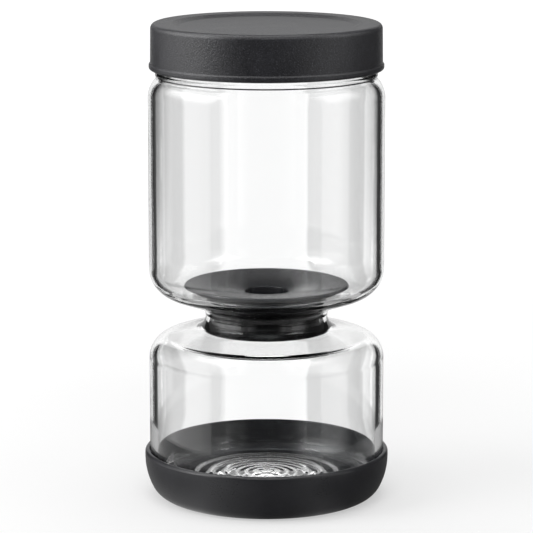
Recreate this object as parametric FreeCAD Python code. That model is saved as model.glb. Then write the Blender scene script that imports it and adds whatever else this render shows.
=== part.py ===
import FreeCAD, Part

import math
import os
from collections import namedtuple

# Two-chamber glass brewer: an hourglass vessel standing in a soft cup, with a drain funnel plugged
# into its waist and a screw lid on its neck. Millimetres, +Z up. The origin is on the axis, at the
# underside of the cup. Every piece is round, so each is a half-section (r, z) turned about the axis.

# Glass vessel
vessel_radius = 50.0  # outside of both chambers
glass_wall = 3.2
waist_height = 78.5  # narrowest place, above the table
waist_radius = 25.95  # outside of the glass there
lower_slope = 13.0  # shoulder of the lower chamber, degrees
lower_throat_round = 5.5
lower_shoulder_round = 10.3
upper_slope = 19.4  # floor of the upper chamber, degrees
upper_throat_round = 4.9
upper_floor_round = 12.5
upper_floor_inner_round = 8.4  # the wall thins a little in this corner
shoulder_height = 171.9  # where the upper wall starts to turn in
shoulder_round = 11.6
neck_step = 3.6  # how far the neck stands in from the wall
neck_crease_round = 1.0
neck_bead_height = 2.1  # ring round the foot of the neck
neck_bead_rise = 0.5
neck_height = 26.7  # from where the wall turns in, up to the rim
glass_floor = 5.8
vessel_foot_round = 10.0
inner_foot_round = 6.0
punt_radius = 24.0  # hollow in the underside
punt_rise = 1.8
boss_radius = 15.8  # dome in the middle of the inner floor
boss_rise = 0.5
ripple_count = 3  # rings pressed into the inner floor
ripple_land = 5.8  # flat between the outermost ring and the wall's round
ripple_rise = 0.5

# Base cup
base_height = 20.45
base_floor = 3.5
base_rim_wall = 1.85
base_rim_round = 1.4  # outer edge of the rim
base_gap = 0.3  # between the cup's wall and the glass
base_lip = 3.2  # upright part of the side, at the rim
base_side_round = 26.7
base_foot_round = 8.8
base_corner_ease = 1.0  # how much tighter the cup's inner corner is than the glass
sole_width = 10.0  # ring that touches the table
sole_rise = 0.8

# Lid
thread_room = 0.8  # between the glass neck and the liner
liner_wall = 0.95
liner_top = 1.4
liner_fit = 0.05  # between the liner and the shell
liner_inset = 0.6  # liner's lower edge above the shell's
shell_sheet = 0.5
skirt_draft = 0.2
neck_bare = 3.23  # neck left in sight under the lid
lid_edge_round = 2.2
lid_ring_width = 9.2  # flat ring round the sunk panel
panel_depth = 1.2
panel_ramp = 2.7
panel_round = 0.9
bead_height = 2.8  # rolled edge of the skirt
bead_proud = 0.6
bead_round = 0.55
gasket_thickness = 1.6
gasket_overhang = 1.2  # inside the mouth
gasket_play = 0.2  # between the gasket and the liner's skirt
gasket_round = 0.3
gasket_seat = 0.05  # between the gasket and the glass rim
keeper_wall = 1.0  # ring on the liner that centres the gasket
keeper_depth = 1.1

# Drain funnel
dish_overlap = 12.45  # how far the dish reaches past the glass throat
dish_lift = 1.8  # dish's edge above the glass
dish_edge = 1.8
dish_edge_round = 0.8
dish_under_round = 0.5
dish_slope = 5.8  # fall of the dish's outer part towards the drain, degrees
dish_flat = 14.2  # from the edge to where the dish starts to turn down
trumpet_round = 115.0
dish_sheet = 1.8
drain_radius = 9.4
drain_lip_round = 0.4
drain_wall = 2.2
stem_wall = 1.8
drain_inset = 1.0  # drain tube's end above the stem's

# Neck seal
seal_gap = 0.3  # between the seal and the glass
seal_thickness = 2.4  # at the throat
seal_fit = 0.05  # between the seal and the stem
seal_flange_inset = 4.2  # flange's edge inside the dish's edge
seal_flange_round = 0.6
snap_turn = 32.0  # how far the stem follows the glass round, degrees
snap_reach = 18.0  # how much further the lower lip goes
snap_nose = 0.8

# Strainer disc
strainer_step = 0.8  # seat in the end of the drain tube
strainer_depth = 1.2
strainer_fit = 0.05
strainer_thickness = 0.8
strainer_rings = 3
strainer_margin = 1.15  # between the outer holes and the drain's wall
strainer_hole_radius = 0.75

# Places that several pieces share
neck_radius = vessel_radius - neck_step
chamber_radius = vessel_radius - glass_wall
mouth_radius = neck_radius - glass_wall
vessel_foot = base_floor
seat_inset = glass_wall + seal_gap
rim_height = shoulder_height + neck_height
ripple_pitch = (chamber_radius - inner_foot_round - ripple_land - boss_radius) / ripple_count

shoulder = (vessel_radius - shoulder_round, shoulder_height)
crease_run = neck_radius + neck_crease_round - shoulder[0]
crease_rise = math.sqrt((shoulder_round + neck_crease_round) ** 2 - crease_run**2)
crease = (shoulder[0] + crease_run, shoulder[1] + crease_rise)

gasket_under = rim_height + gasket_seat
liner_under = gasket_under + gasket_thickness
panel_under = liner_under + liner_top
lid_top = panel_under + shell_sheet + panel_depth
lid_foot = crease[1] + neck_bare
liner_inner = neck_radius + thread_room
liner_outer = liner_inner + liner_wall
lid_radius = liner_outer + liner_fit + shell_sheet
gasket_inner = mouth_radius - gasket_overhang

throat_radius = waist_radius - glass_wall
stem_radius = throat_radius - seal_gap - seal_thickness
dish_radius = throat_radius + dish_overlap
trumpet_radius = dish_radius - dish_flat
strainer_pitch = (drain_radius - strainer_hole_radius - strainer_margin) / strainer_rings

TOUCH = 1e-6
AXIS = FreeCAD.Vector(0, 0, 1)
Arc = namedtuple("Arc", "centre radius start end")  # centre as (r, z), angles in degrees


def polar(centre, radius, degrees):
    """Point on a circle of the half-section."""
    turn = math.radians(degrees)
    return (centre[0] + radius * math.cos(turn), centre[1] + radius * math.sin(turn))


def vector(point):
    """Point of the half-section in space."""
    return FreeCAD.Vector(point[0], 0, point[1])


def edge_between(start, end):
    """Straight edges from start to end: none if the two points meet."""
    if math.dist(start, end) < TOUCH:
        return []
    return [Part.LineSegment(vector(start), vector(end)).toShape()]


def edge_through(start, middle, end):
    """Round edge through three points."""
    return Part.Arc(vector(start), vector(middle), vector(end)).toShape()


def first_point(item):
    """Where an arc starts, or the corner itself."""
    return polar(item.centre, item.radius, item.start) if isinstance(item, Arc) else item[:2]


def last_point(item):
    """Where an arc ends, or the corner itself."""
    return polar(item.centre, item.radius, item.end) if isinstance(item, Arc) else item[:2]


def rounded(before, corner, after):
    """Start, middle and end of the round at a corner (r, z, radius) between two points."""
    point, radius = corner[:2], corner[2]
    ways = []
    for other in (before, after):
        reach = math.dist(point, other)
        ways.append(((other[0] - point[0]) / reach, (other[1] - point[1]) / reach))
    opening = math.acos(ways[0][0] * ways[1][0] + ways[0][1] * ways[1][1])
    run = radius / math.tan(opening / 2)
    bisector = (ways[0][0] + ways[1][0], ways[0][1] + ways[1][1])
    inward = radius / math.sin(opening / 2) - radius
    span = math.hypot(*bisector)
    start, end = ((point[0] + run * w[0], point[1] + run * w[1]) for w in ways)
    middle = (point[0] + inward * bisector[0] / span, point[1] + inward * bisector[1] / span)
    return start, middle, end


def half_section(items):
    """Closed face from points (r, z), rounded corners (r, z, radius) and arcs, joined by straight lines."""
    edges = []
    origin = last = None
    for index, item in enumerate(items):
        start, end = first_point(item), last_point(item)
        curve = None
        if isinstance(item, Arc):
            middle = polar(item.centre, item.radius, (item.start + item.end) / 2)
            curve = edge_through(start, middle, end)
        elif len(item) > 2:
            before = last_point(items[index - 1])
            after = first_point(items[(index + 1) % len(items)])
            start, middle, end = rounded(before, item, after)
            curve = edge_through(start, middle, end)
        if last is not None:
            edges += edge_between(last, start)
        if curve is not None:
            edges.append(curve)
        origin = origin or start
        last = end
    edges += edge_between(last, origin)
    return Part.Face(Part.Wire(edges))


def turned(items):
    """Solid of revolution of a half-section."""
    return half_section(items).revolve(FreeCAD.Vector(), AXIS, 360)


def backwards(items):
    """The same line, walked the other way."""
    return [
        item._replace(start=item.end, end=item.start) if isinstance(item, Arc) else item
        for item in reversed(items)
    ]


def lower_drop():
    """Height from the waist down to where the lower chamber's wall turns upright."""
    turn = math.radians(lower_slope)
    rounds = lower_throat_round + lower_shoulder_round
    run = vessel_radius - waist_radius - rounds * (1 - math.sin(turn))
    return rounds * math.cos(turn) + run * math.tan(turn)


def lower_throat(inset):
    """Round under the waist, on the glass's outside or that far inside it, going up."""
    centre = (waist_radius + lower_throat_round, waist_height)
    return Arc(centre, lower_throat_round + inset, 270 - lower_slope, 180)


def upper_throat(inset):
    """Round over the waist, going up."""
    centre = (waist_radius + upper_throat_round, waist_height)
    return Arc(centre, upper_throat_round + inset, 180, 90 + upper_slope)


def floor_height(radius, inset):
    """Height of the upper chamber's sloping floor at a radius."""
    start = last_point(upper_throat(inset))
    return start[1] + (radius - start[0]) * math.tan(math.radians(upper_slope))


def floor_corner(radius, inset):
    """Round between the upper chamber's floor and its wall, going up."""
    r = vessel_radius - inset - radius
    z = floor_height(r, inset) + radius / math.cos(math.radians(upper_slope))
    return Arc((r, z), radius, upper_slope - 90, 0)


def vessel_side(inset, corner_round):
    """Wall of the vessel from the lower shoulder to the neck, on its outside or that far inside it."""
    lower_corner = (vessel_radius - lower_shoulder_round, waist_height - lower_drop())
    meet = math.degrees(math.atan2(crease_rise, crease_run))
    return [
        Arc(lower_corner, lower_shoulder_round - inset, 0, 90 - lower_slope),
        lower_throat(inset),
        upper_throat(inset),
        floor_corner(corner_round, inset),
        Arc(shoulder, shoulder_round - inset, 0, meet),
        Arc(crease, neck_crease_round + inset, 180 + meet, 180),
    ]


def neck_bead():
    """Low ring on the outside of the neck, right over its crease."""
    half = neck_bead_height / 2
    radius = (half**2 + neck_bead_rise**2) / (2 * neck_bead_rise)
    turn = math.degrees(math.asin(half / radius))
    return Arc((neck_radius + neck_bead_rise - radius, crease[1] + half), radius, -turn, turn)


def swell(start, end_radius, rise):
    """Smooth step of a floor, from a point inwards to a radius, level at both ends."""
    half = (start[0] - end_radius) / 2
    radius = (half**2 + rise**2 / 4) / abs(rise)
    turn = math.copysign(math.degrees(math.asin(half / radius)), rise)
    hollow = math.copysign(90, rise)
    reach = math.copysign(radius, rise)
    return [
        Arc((start[0], start[1] + reach), radius, -hollow, -hollow - turn),
        Arc((end_radius, start[1] + rise - reach), radius, hollow - turn, hollow),
    ]


def ripples(floor):
    """Raised rings of the inner floor, from the outermost inwards, up to the middle dome."""
    rings = []
    for index in reversed(range(ripple_count)):
        inner = boss_radius + index * ripple_pitch
        crest = inner + ripple_pitch / 2
        rings += swell((inner + ripple_pitch, floor), crest, ripple_rise)
        rings += swell((crest, floor + ripple_rise), inner, -ripple_rise)
    return rings


def glass_vessel():
    """One-piece hourglass with an even wall through both shoulders, the waist and the neck."""
    floor = vessel_foot + glass_floor
    rim = glass_wall / 2
    outer_foot = (vessel_radius - vessel_foot_round, vessel_foot + vessel_foot_round)
    inner_foot = (chamber_radius - inner_foot_round, floor + inner_foot_round)
    outside = [
        *backwards(swell((punt_radius, vessel_foot), 0, punt_rise)),
        Arc(outer_foot, vessel_foot_round, -90, 0),
        *vessel_side(0, upper_floor_round),
        neck_bead(),
        Arc((neck_radius - rim, rim_height - rim), rim, 0, 180),
    ]
    inside = [
        *backwards(vessel_side(glass_wall, upper_floor_inner_round)),
        Arc(inner_foot, inner_foot_round, 0, -90),
        *ripples(floor),
        *swell((boss_radius, floor), 0, boss_rise),
    ]
    return turned(outside + inside)


def base_cup():
    """Soft cup: a curved side that runs into a round foot, and a rounded rim."""
    inner = vessel_radius + base_gap
    outer = inner + base_rim_wall
    belly = base_height - base_lip
    side = (outer - base_side_round, belly)
    spread = base_side_round - base_foot_round
    foot = (side[0] + math.sqrt(spread**2 - (belly - base_foot_round) ** 2), base_foot_round)
    meet = math.degrees(math.atan2(foot[1] - side[1], foot[0] - side[0]))
    rim = base_rim_round
    lip = base_rim_wall - rim
    corner = vessel_foot_round - base_corner_ease
    sole = foot[0] - sole_width
    return turned(
        [
            (0, sole_rise),
            (sole - sole_rise, sole_rise),
            (sole, 0),
            Arc(foot, base_foot_round, -90, meet),
            Arc(side, base_side_round, meet, 0),
            Arc((outer - rim, base_height - rim), rim, 0, 90),
            Arc((inner + lip, base_height - lip), lip, 90, 180),
            Arc((inner - corner, base_floor + corner), corner, 0, -90),
            (0, base_floor),
        ]
    )


def lid_shell():
    """Drawn cap: sunk panel, raised ring, upright skirt and a rolled bead."""
    foot_radius = lid_radius + skirt_draft
    ring_inner = lid_radius - lid_ring_width
    panel_radius = ring_inner - panel_ramp
    panel_top = panel_under + shell_sheet
    ring_under = lid_top - shell_sheet
    bead_top = lid_foot + bead_height
    bead_radius = foot_radius + bead_proud
    return turned(
        [
            (0, panel_top),
            (panel_radius, panel_top, panel_round),
            (ring_inner, lid_top, panel_round),
            (lid_radius, lid_top, lid_edge_round),
            (foot_radius, bead_top),
            (bead_radius, bead_top - bead_proud, bead_round),
            (bead_radius, lid_foot, 2 * bead_round),
            (foot_radius - shell_sheet, lid_foot, bead_round / 2),
            (lid_radius - shell_sheet, ring_under, lid_edge_round - shell_sheet),
            (ring_inner, ring_under, panel_round),
            (panel_radius, panel_under, panel_round),
            (0, panel_under),
        ]
    )


def lid_liner():
    """Inner cap that screws on the neck, with a ring that centres the gasket."""
    liner_foot = lid_foot + liner_inset
    keeper = gasket_inner - gasket_play
    return turned(
        [
            (0, panel_under),
            (liner_outer, panel_under, liner_wall),
            (liner_outer, liner_foot),
            (liner_inner, liner_foot),
            (liner_inner, liner_under),
            (keeper, liner_under),
            (keeper, liner_under - keeper_depth),
            (keeper - keeper_wall, liner_under - keeper_depth),
            (keeper - keeper_wall, liner_under),
            (0, liner_under),
        ]
    )


def lid_gasket():
    """Flat ring that the liner presses on the glass rim."""
    outer = liner_inner - gasket_play
    return turned(
        [
            (gasket_inner, gasket_under, gasket_round),
            (outer, gasket_under, gasket_round),
            (outer, liner_under),
            (gasket_inner, liner_under),
        ]
    )


def stem_foot():
    """Height of the stem's lower end, level with the seal's lower lip."""
    throat = lower_throat(seat_inset + snap_nose)
    return polar(throat.centre, throat.radius, 180 + snap_turn)[1] - snap_nose


def dish_under(radius):
    """Height of the dish's sloping underside, which the seal's flange backs."""
    edge = floor_height(dish_radius, glass_wall) + dish_lift
    return edge - (dish_radius - radius) * math.tan(math.radians(dish_slope))


def funnel_dish():
    """Trumpet-shaped dish, with a drain tube in the middle and a hollow stem that carries the seal."""
    under = dish_under(dish_radius)
    top = under + dish_edge
    bend = (trumpet_radius, top - (dish_radius - trumpet_radius) * math.tan(math.radians(dish_slope)))
    trumpet = polar(bend, trumpet_round, dish_slope - 90)
    lip_r = drain_radius + drain_lip_round
    lip_reach = trumpet_round - drain_lip_round
    lip_z = trumpet[1] + math.sqrt(lip_reach**2 - (trumpet[0] - lip_r) ** 2)
    lip_turn = math.degrees(math.atan2(lip_z - trumpet[1], lip_r - trumpet[0]))
    inner_round = trumpet_round - dish_sheet
    tube_radius = drain_radius + drain_wall
    stem_inner = stem_radius - stem_wall
    stem_end = stem_foot()
    tube_end = stem_end + drain_inset
    seat = tube_end + strainer_depth
    hollow = [
        math.degrees(math.acos((radius - trumpet[0]) / inner_round))
        for radius in (stem_inner, tube_radius)
    ]
    return turned(
        [
            (drain_radius + strainer_step, tube_end),
            (drain_radius + strainer_step, seat),
            (drain_radius, seat),
            Arc((lip_r, lip_z), drain_lip_round, 180, lip_turn),
            Arc(trumpet, trumpet_round, lip_turn, 90 + dish_slope),
            (dish_radius, top, dish_edge_round),
            (dish_radius, under, dish_under_round),
            (stem_radius, dish_under(stem_radius)),
            (stem_radius, stem_end),
            (stem_inner, stem_end),
            Arc(trumpet, inner_round, hollow[0], hollow[1]),
            (tube_radius, tube_end),
        ]
    )


def neck_seal():
    """Soft sleeve moulded to the glass throat: flange under the dish, lip that snaps below the waist."""
    inner = stem_radius + seal_fit
    flange = dish_radius - seal_flange_inset
    lower = lower_throat(seat_inset)
    nose = lower_throat(seat_inset + snap_nose)
    turn = snap_turn + snap_reach
    return turned(
        [
            (inner, stem_foot()),
            Arc(polar(nose.centre, nose.radius, 180 + turn), snap_nose, -90, turn),
            lower._replace(start=180 + turn),
            upper_throat(seat_inset),
            (flange, floor_height(flange, seat_inset), seal_flange_round),
            (flange, dish_under(flange)),
            (inner, dish_under(inner)),
        ]
    )


def strainer_disc():
    """Thin disc with rings of holes, seated in the end of the drain tube."""
    top = stem_foot() + drain_inset + strainer_depth
    under = FreeCAD.Vector(0, 0, top - strainer_thickness)
    disc = Part.makeCylinder(drain_radius + strainer_step - strainer_fit, strainer_thickness, under)
    holes = [Part.makeCylinder(strainer_hole_radius, strainer_thickness, under)]
    for ring in range(1, strainer_rings + 1):
        count = 6 * ring
        for index in range(count):
            r, side = polar((0, 0), ring * strainer_pitch, 360 * index / count)
            place = under + FreeCAD.Vector(r, side, 0)
            holes.append(Part.makeCylinder(strainer_hole_radius, strainer_thickness, place))
    return disc.cut(holes).Solids[0]


PIECES = [
    base_cup,
    glass_vessel,
    funnel_dish,
    neck_seal,
    strainer_disc,
    lid_gasket,
    lid_liner,
    lid_shell,
]

os.makedirs("parts", exist_ok=True)
for piece in PIECES:
    shape = piece()
    print(piece.__name__, shape.ShapeType, shape.isValid(), round(shape.Volume, 1), shape.BoundBox)
    shape.exportStep(f"parts/{piece.__name__}.step")
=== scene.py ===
"""Looks of a two-chamber glass brewer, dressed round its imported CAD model.

Lengths are metres, +Z is up and the vessel's axis is the Z axis. Every piece is round, so each mesh is a
half-section (r, z) turned about that axis, with relief added where a surface isn't plain.
"""
import logging
import math
from collections.abc import Callable, Iterable, Mapping, Sequence
from dataclasses import dataclass
from enum import Enum
from typing import Any

import bmesh
import bpy
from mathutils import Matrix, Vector


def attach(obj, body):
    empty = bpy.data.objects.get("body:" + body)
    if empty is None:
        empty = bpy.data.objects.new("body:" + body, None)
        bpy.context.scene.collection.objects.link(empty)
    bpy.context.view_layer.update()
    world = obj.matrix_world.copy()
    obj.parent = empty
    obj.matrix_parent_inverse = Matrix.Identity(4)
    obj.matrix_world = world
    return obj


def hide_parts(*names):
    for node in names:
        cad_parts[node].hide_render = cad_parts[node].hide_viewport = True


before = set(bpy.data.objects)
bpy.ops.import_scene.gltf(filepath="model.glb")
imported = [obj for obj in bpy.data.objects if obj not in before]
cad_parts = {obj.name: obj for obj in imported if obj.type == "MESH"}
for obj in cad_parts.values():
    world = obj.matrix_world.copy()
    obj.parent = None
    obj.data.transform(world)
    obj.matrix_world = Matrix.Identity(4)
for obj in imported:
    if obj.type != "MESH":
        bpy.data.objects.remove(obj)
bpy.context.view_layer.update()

LOG = logging.getLogger("brewer")
MM = 0.001
TOUCH = 1e-9
FULL_TURN = 2 * math.pi
CIRCLE = 360.0
QUARTER = 90.0
CHARCOAL_TINT = (0.97, 0.975, 1.13)

Point = tuple[float, float]
Colour = tuple[float, float, float, float]
Relief = Callable[[float, float, float], float]
Ring = list[bmesh.types.BMVert]
Socket = bpy.types.NodeSocket
Piece = bpy.types.Object


class Body(Enum):
    """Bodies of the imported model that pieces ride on."""

    BASE = "base"
    VESSEL = "vessel"
    FUNNEL = "funnel"
    LID_SEAL = "lid_seal"
    LID = "lid"


class Ray(Enum):
    """Kinds of ray that a material tells apart."""

    CAMERA = "Is Camera Ray"
    SHADOW = "Is Shadow Ray"
    DIFFUSE = "Is Diffuse Ray"
    GLOSSY = "Is Glossy Ray"
    TRANSMISSION = "Is Transmission Ray"


# Meshes


def on_circle(centre: Point, radius: float, degrees: float) -> Point:
    """Point of a circle at an angle."""
    turn = math.radians(degrees)
    return (centre[0] + radius * math.cos(turn), centre[1] + radius * math.sin(turn))


@dataclass(frozen=True)
class Arc:
    """Round stretch of a half-section, with its angles in degrees."""

    centre: Point
    radius: float
    start: float
    end: float

    def at(self, degrees: float) -> Point:
        """Point of the arc's circle at an angle."""
        return on_circle(self.centre, self.radius, degrees)

    def reversed(self) -> "Arc":
        """The same arc, walked the other way."""
        return Arc(self.centre, self.radius, self.end, self.start)

    def points(self, step: float) -> list[Point]:
        """Points along the arc, both ends included, at most step degrees apart."""
        count = max(2, math.ceil(abs(self.end - self.start) / step))
        return [self.at(self.start + (self.end - self.start) * index / count) for index in range(count + 1)]


@dataclass(frozen=True)
class RippledArc(Arc):
    """Arc with even ripples, which start and end level with it."""

    ripples: int = 1
    rise: float = 0.0
    points_each: int = 14

    def points(self, step: float) -> list[Point]:
        """Points along the ripples.

        Args:
            step: Largest angle of a plain arc, which the ripples have no use for.

        Returns:
            The points, both ends included.
        """
        count = self.ripples * self.points_each
        places: list[Point] = []
        for index in range(count + 1):
            share = index / count
            swell = self.rise * (1 - math.cos(FULL_TURN * self.ripples * share)) / 2
            angle = self.start + (self.end - self.start) * share
            places.append(on_circle(self.centre, self.radius - swell, angle))
        return places


Item = Arc | tuple[float, ...]


def backwards(items: Iterable[Item]) -> list[Item]:
    """The same line of a half-section, walked the other way."""
    return [item.reversed() if isinstance(item, Arc) else item for item in reversed(list(items))]


def first_point(item: Item) -> Point:
    """Where an arc starts, or the corner itself."""
    return item.at(item.start) if isinstance(item, Arc) else (item[0], item[1])


def last_point(item: Item) -> Point:
    """Where an arc ends, or the corner itself."""
    return item.at(item.end) if isinstance(item, Arc) else (item[0], item[1])


def rounded(before: Point, corner: tuple[float, ...], after: Point) -> Arc:
    """Round at a corner between two points.

    Args:
        before: Point that the line comes from.
        corner: The corner as (r, z, radius).
        after: Point that the line goes to.

    Returns:
        The arc that replaces the corner.
    """
    point, radius = Vector(corner[:2]), corner[2]
    back = (Vector(before) - point).normalized()
    ahead = (Vector(after) - point).normalized()
    opening = back.angle(ahead)
    centre = point + (back + ahead).normalized() * (radius / math.sin(opening / 2))
    run = radius / math.tan(opening / 2)
    ends = [point + way * run - centre for way in (back, ahead)]
    start, end = (math.degrees(math.atan2(end[1], end[0])) for end in ends)
    turn = (end - start + 180) % 360 - 180
    return Arc((centre[0], centre[1]), radius, start, start + turn)


@dataclass(frozen=True)
class Lathe:
    """Closed half-section that is turned into a mesh."""

    name: str
    items: Sequence[Item]
    segments: int = 160
    arc_step: float = 5.0
    run_step: float = 0.05
    relief: Relief | None = None
    sharp_angle: float = 32.0
    ease: float = 0.0004

    def rows(self) -> list[Point]:
        """Points of the half-section, with straight runs divided near their ends.

        Returns:
            The points in order, none of them twice in a row.
        """
        items = list(self.items)
        rows: list[Point] = []
        for index, item in enumerate(items):
            if not isinstance(item, Arc) and len(item) > 2:
                before, after = items[index - 1], items[(index + 1) % len(items)]
                item = rounded(last_point(before), item, first_point(after))
            points = item.points(self.arc_step) if isinstance(item, Arc) else [(item[0], item[1])]
            rows += self.run(rows[-1], points[0]) if rows else []
            rows += points
        rows += self.run(rows[-1], rows[0])
        kept: list[Point] = []
        for row in rows:
            if not kept or math.dist(kept[-1], row) > TOUCH:
                kept.append(row)
        return kept

    def run(self, start: Point, end: Point) -> list[Point]:
        """Points between the ends of a straight run, close to both ends and evenly between.

        Args:
            start: Where the run starts.
            end: Where it ends.

        Returns:
            The points, without the two ends, or none where the run is short.
        """
        length = math.dist(start, end)
        if length < 4 * self.ease:
            return []
        inner = length - 2 * self.ease
        count = max(1, math.ceil(inner / self.run_step))
        places = [self.ease + inner * index / count for index in range(count + 1)]
        return [
            (start[0] + (end[0] - start[0]) * place / length, start[1] + (end[1] - start[1]) * place / length)
            for place in places
        ]

    def build(self) -> Piece:
        """Turns the half-section about the axis.

        Returns:
            The new object, linked to the scene, with smooth faces and sharp corners.
        """
        rows = self.rows()
        mesh = bmesh.new()
        rings: list[Ring] = []
        for r, z in rows:
            if r < TOUCH:
                rings.append([mesh.verts.new((0.0, 0.0, z))])
                continue
            ring = []
            for index in range(self.segments):
                turn = FULL_TURN * index / self.segments
                reach = r + (self.relief(r, z, turn) if self.relief else 0.0)
                ring.append(mesh.verts.new((reach * math.cos(turn), reach * math.sin(turn), z)))
            rings.append(ring)
        on_axis = len(rings[0]) == 1 or len(rings[-1]) == 1
        pairs = list(zip(rings, rings[1:])) + ([] if on_axis else [(rings[-1], rings[0])])
        for lower, upper in pairs:
            self.skin(mesh, lower, upper)
        bmesh.ops.recalc_face_normals(mesh, faces=mesh.faces)
        data = bpy.data.meshes.new(self.name)
        mesh.to_mesh(data)
        mesh.free()
        data.shade_smooth()
        data.set_sharp_from_angle(angle=math.radians(self.sharp_angle))
        piece = bpy.data.objects.new(self.name, data)
        bpy.context.scene.collection.objects.link(piece)
        return piece

    @staticmethod
    def skin(mesh: bmesh.types.BMesh, lower: Ring, upper: Ring) -> None:
        """Adds the faces between two neighbouring rings.

        Args:
            mesh: Mesh that the rings are in.
            lower: One ring, or a single point on the axis.
            upper: The next ring, or a single point on the axis.
        """
        count = max(len(lower), len(upper))
        if count == 1:
            return
        for index in range(count):
            ahead = (index + 1) % count
            if len(lower) == 1:
                corners = [lower[0], upper[ahead], upper[index]]
            elif len(upper) == 1:
                corners = [lower[index], lower[ahead], upper[0]]
            else:
                corners = [lower[index], lower[ahead], upper[ahead], upper[index]]
            mesh.faces.new(corners)


@dataclass(frozen=True)
class ThreadRidge:
    """Low helical ridge of a screw thread."""

    foot: float
    pitch: float
    turns: float
    width: float
    height: float
    fade: float = 0.12

    def __call__(self, r: float, z: float, turn: float) -> float:
        """Rise of the ridge at a place of a round wall.

        Args:
            r: Radius of the plain surface, which the ridge doesn't depend on.
            z: Height of the place.
            turn: Angle of the place about the axis, in radians.

        Returns:
            The rise, in metres.
        """
        rise = 0.0
        lap = turn / FULL_TURN
        while lap <= self.turns:
            off = abs(z - self.foot - self.pitch * lap) / (self.width / 2)
            ends = min(1.0, lap / self.fade, (self.turns - lap) / self.fade)
            if off < 1:
                rise = max(rise, self.height * ends * (1 - off**2) ** 2 * (1 + 2 * off**2) ** 0.5)
            lap += 1
        return rise


# Finishes


class Graph:
    """Node tree of a material or a world, with short ways to add and join nodes."""

    def __init__(self, tree: bpy.types.NodeTree) -> None:
        """Empties the tree."""
        self.tree = tree
        tree.nodes.clear()

    def add(
        self, kind: str, inputs: Mapping[str | int, Any] | None = None, **settings: Any
    ) -> bpy.types.Node:
        """Adds a node.

        Args:
            kind: Blender's name of the node's type.
            inputs: Input name or number to a value, or to the output socket that feeds it.
            settings: Properties of the node.

        Returns:
            The new node.
        """
        node = self.tree.nodes.new(kind)
        for key, value in settings.items():
            setattr(node, key, value)
        for key, value in (inputs or {}).items():
            if isinstance(value, Socket):
                self.tree.links.new(value, node.inputs[key])
            else:
                node.inputs[key].default_value = value
        return node

    def places(self) -> Socket:
        """Coordinates of the piece itself, in metres."""
        return self.add("ShaderNodeTexCoord").outputs["Object"]

    def noise(self, scale: float, detail: float = 2.0, roughness: float = 0.5) -> Socket:
        """Cloudy pattern with features of about 1 / scale metres."""
        inputs = {"Vector": self.places(), "Scale": scale, "Detail": detail, "Roughness": roughness}
        return self.add("ShaderNodeTexNoise", inputs).outputs["Fac"]

    def math(self, operation: str, *values: float | Socket) -> Socket:
        """Result of a Math node."""
        return self.add("ShaderNodeMath", dict(enumerate(values)), operation=operation).outputs[0]

    def ramp(self, factor: Socket, stops: Sequence[tuple[float, Colour]]) -> Socket:
        """Colour that runs through stops.

        Args:
            factor: Place along the ramp, from 0 to 1.
            stops: Places and their colours, in order.

        Returns:
            The colour's socket.
        """
        node = self.add("ShaderNodeValToRGB", {"Fac": factor})
        elements = node.color_ramp.elements
        elements.remove(elements[1])
        elements[0].position, elements[0].color = stops[0]
        for place, colour in stops[1:]:
            elements.new(place).color = colour
        return node.outputs["Color"]

    def span(self, value: Socket, source: Point, target: Point, smooth: bool = False) -> Socket:
        """Value carried from one range to another, and held at its ends.

        Args:
            value: Number to carry over.
            source: Range that it comes from.
            target: Range that it goes to.
            smooth: Whether it starts and ends softly.

        Returns:
            The new number's socket.
        """
        inputs = {"Value": value, 1: source[0], 2: source[1], 3: target[0], 4: target[1]}
        kind = "SMOOTHSTEP" if smooth else "LINEAR"
        return self.add("ShaderNodeMapRange", inputs, interpolation_type=kind).outputs["Result"]

    def choose(self, factor: Socket, low: float | Socket, high: float | Socket) -> Socket:
        """Number that is low at factor 0 and high at factor 1."""
        return self.add("ShaderNodeMix", {0: factor, 2: low, 3: high}, data_type="FLOAT").outputs[0]

    def bump(self, height: Socket, depth: float, strength: float = 1.0) -> Socket:
        """Normal of a surface with relief from 0 to 1, where 1 is depth metres, shown at a strength."""
        inputs = {"Strength": strength, "Distance": depth, "Height": height}
        return self.add("ShaderNodeBump", inputs).outputs["Normal"]

    def rays(self, *kinds: Ray) -> Socket:
        """Tells rays apart.

        Args:
            kinds: Kinds of ray to pick out.

        Returns:
            Socket that is 1 for these kinds and 0 for others.
        """
        path = self.add("ShaderNodeLightPath")
        value = path.outputs[kinds[0].value]
        for kind in kinds[1:]:
            value = self.math("MAXIMUM", value, path.outputs[kind.value])
        return value

    def end(self, shader: Socket, kind: str = "ShaderNodeOutputMaterial") -> None:
        """Sends a shader to the output."""
        self.add(kind, {"Surface": shader})


def grey(level: float) -> Colour:
    """Neutral colour of a linear level."""
    return (level, level, level, 1.0)


def charcoal(level: float) -> Colour:
    """Dark grey of a linear level, a little towards blue."""
    red, green, blue = (level * share for share in CHARCOAL_TINT)
    return (red, green, blue, 1.0)


def new_material(name: str) -> tuple[bpy.types.Material, Graph]:
    """Starts a node material.

    Args:
        name: The material's name.

    Returns:
        The material and its empty graph.
    """
    material = bpy.data.materials.new(name)
    material.use_nodes = True
    return material, Graph(material.node_tree)


@dataclass(frozen=True)
class Finish:
    """What all finishes share."""

    name: str

    def material(self) -> bpy.types.Material:
        """The finish as a node material, which is made once.

        Returns:
            The material.
        """
        found = bpy.data.materials.get(self.name)
        if found:
            return found
        material, graph = new_material(self.name)
        self.draw(graph)
        return material

    def draw(self, graph: Graph) -> None:
        """Draws the finish's nodes."""
        raise NotImplementedError

    def dress(self, piece: Piece) -> None:
        """Puts the finish on a piece."""
        piece.data.materials.clear()
        piece.data.materials.append(self.material())


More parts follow.
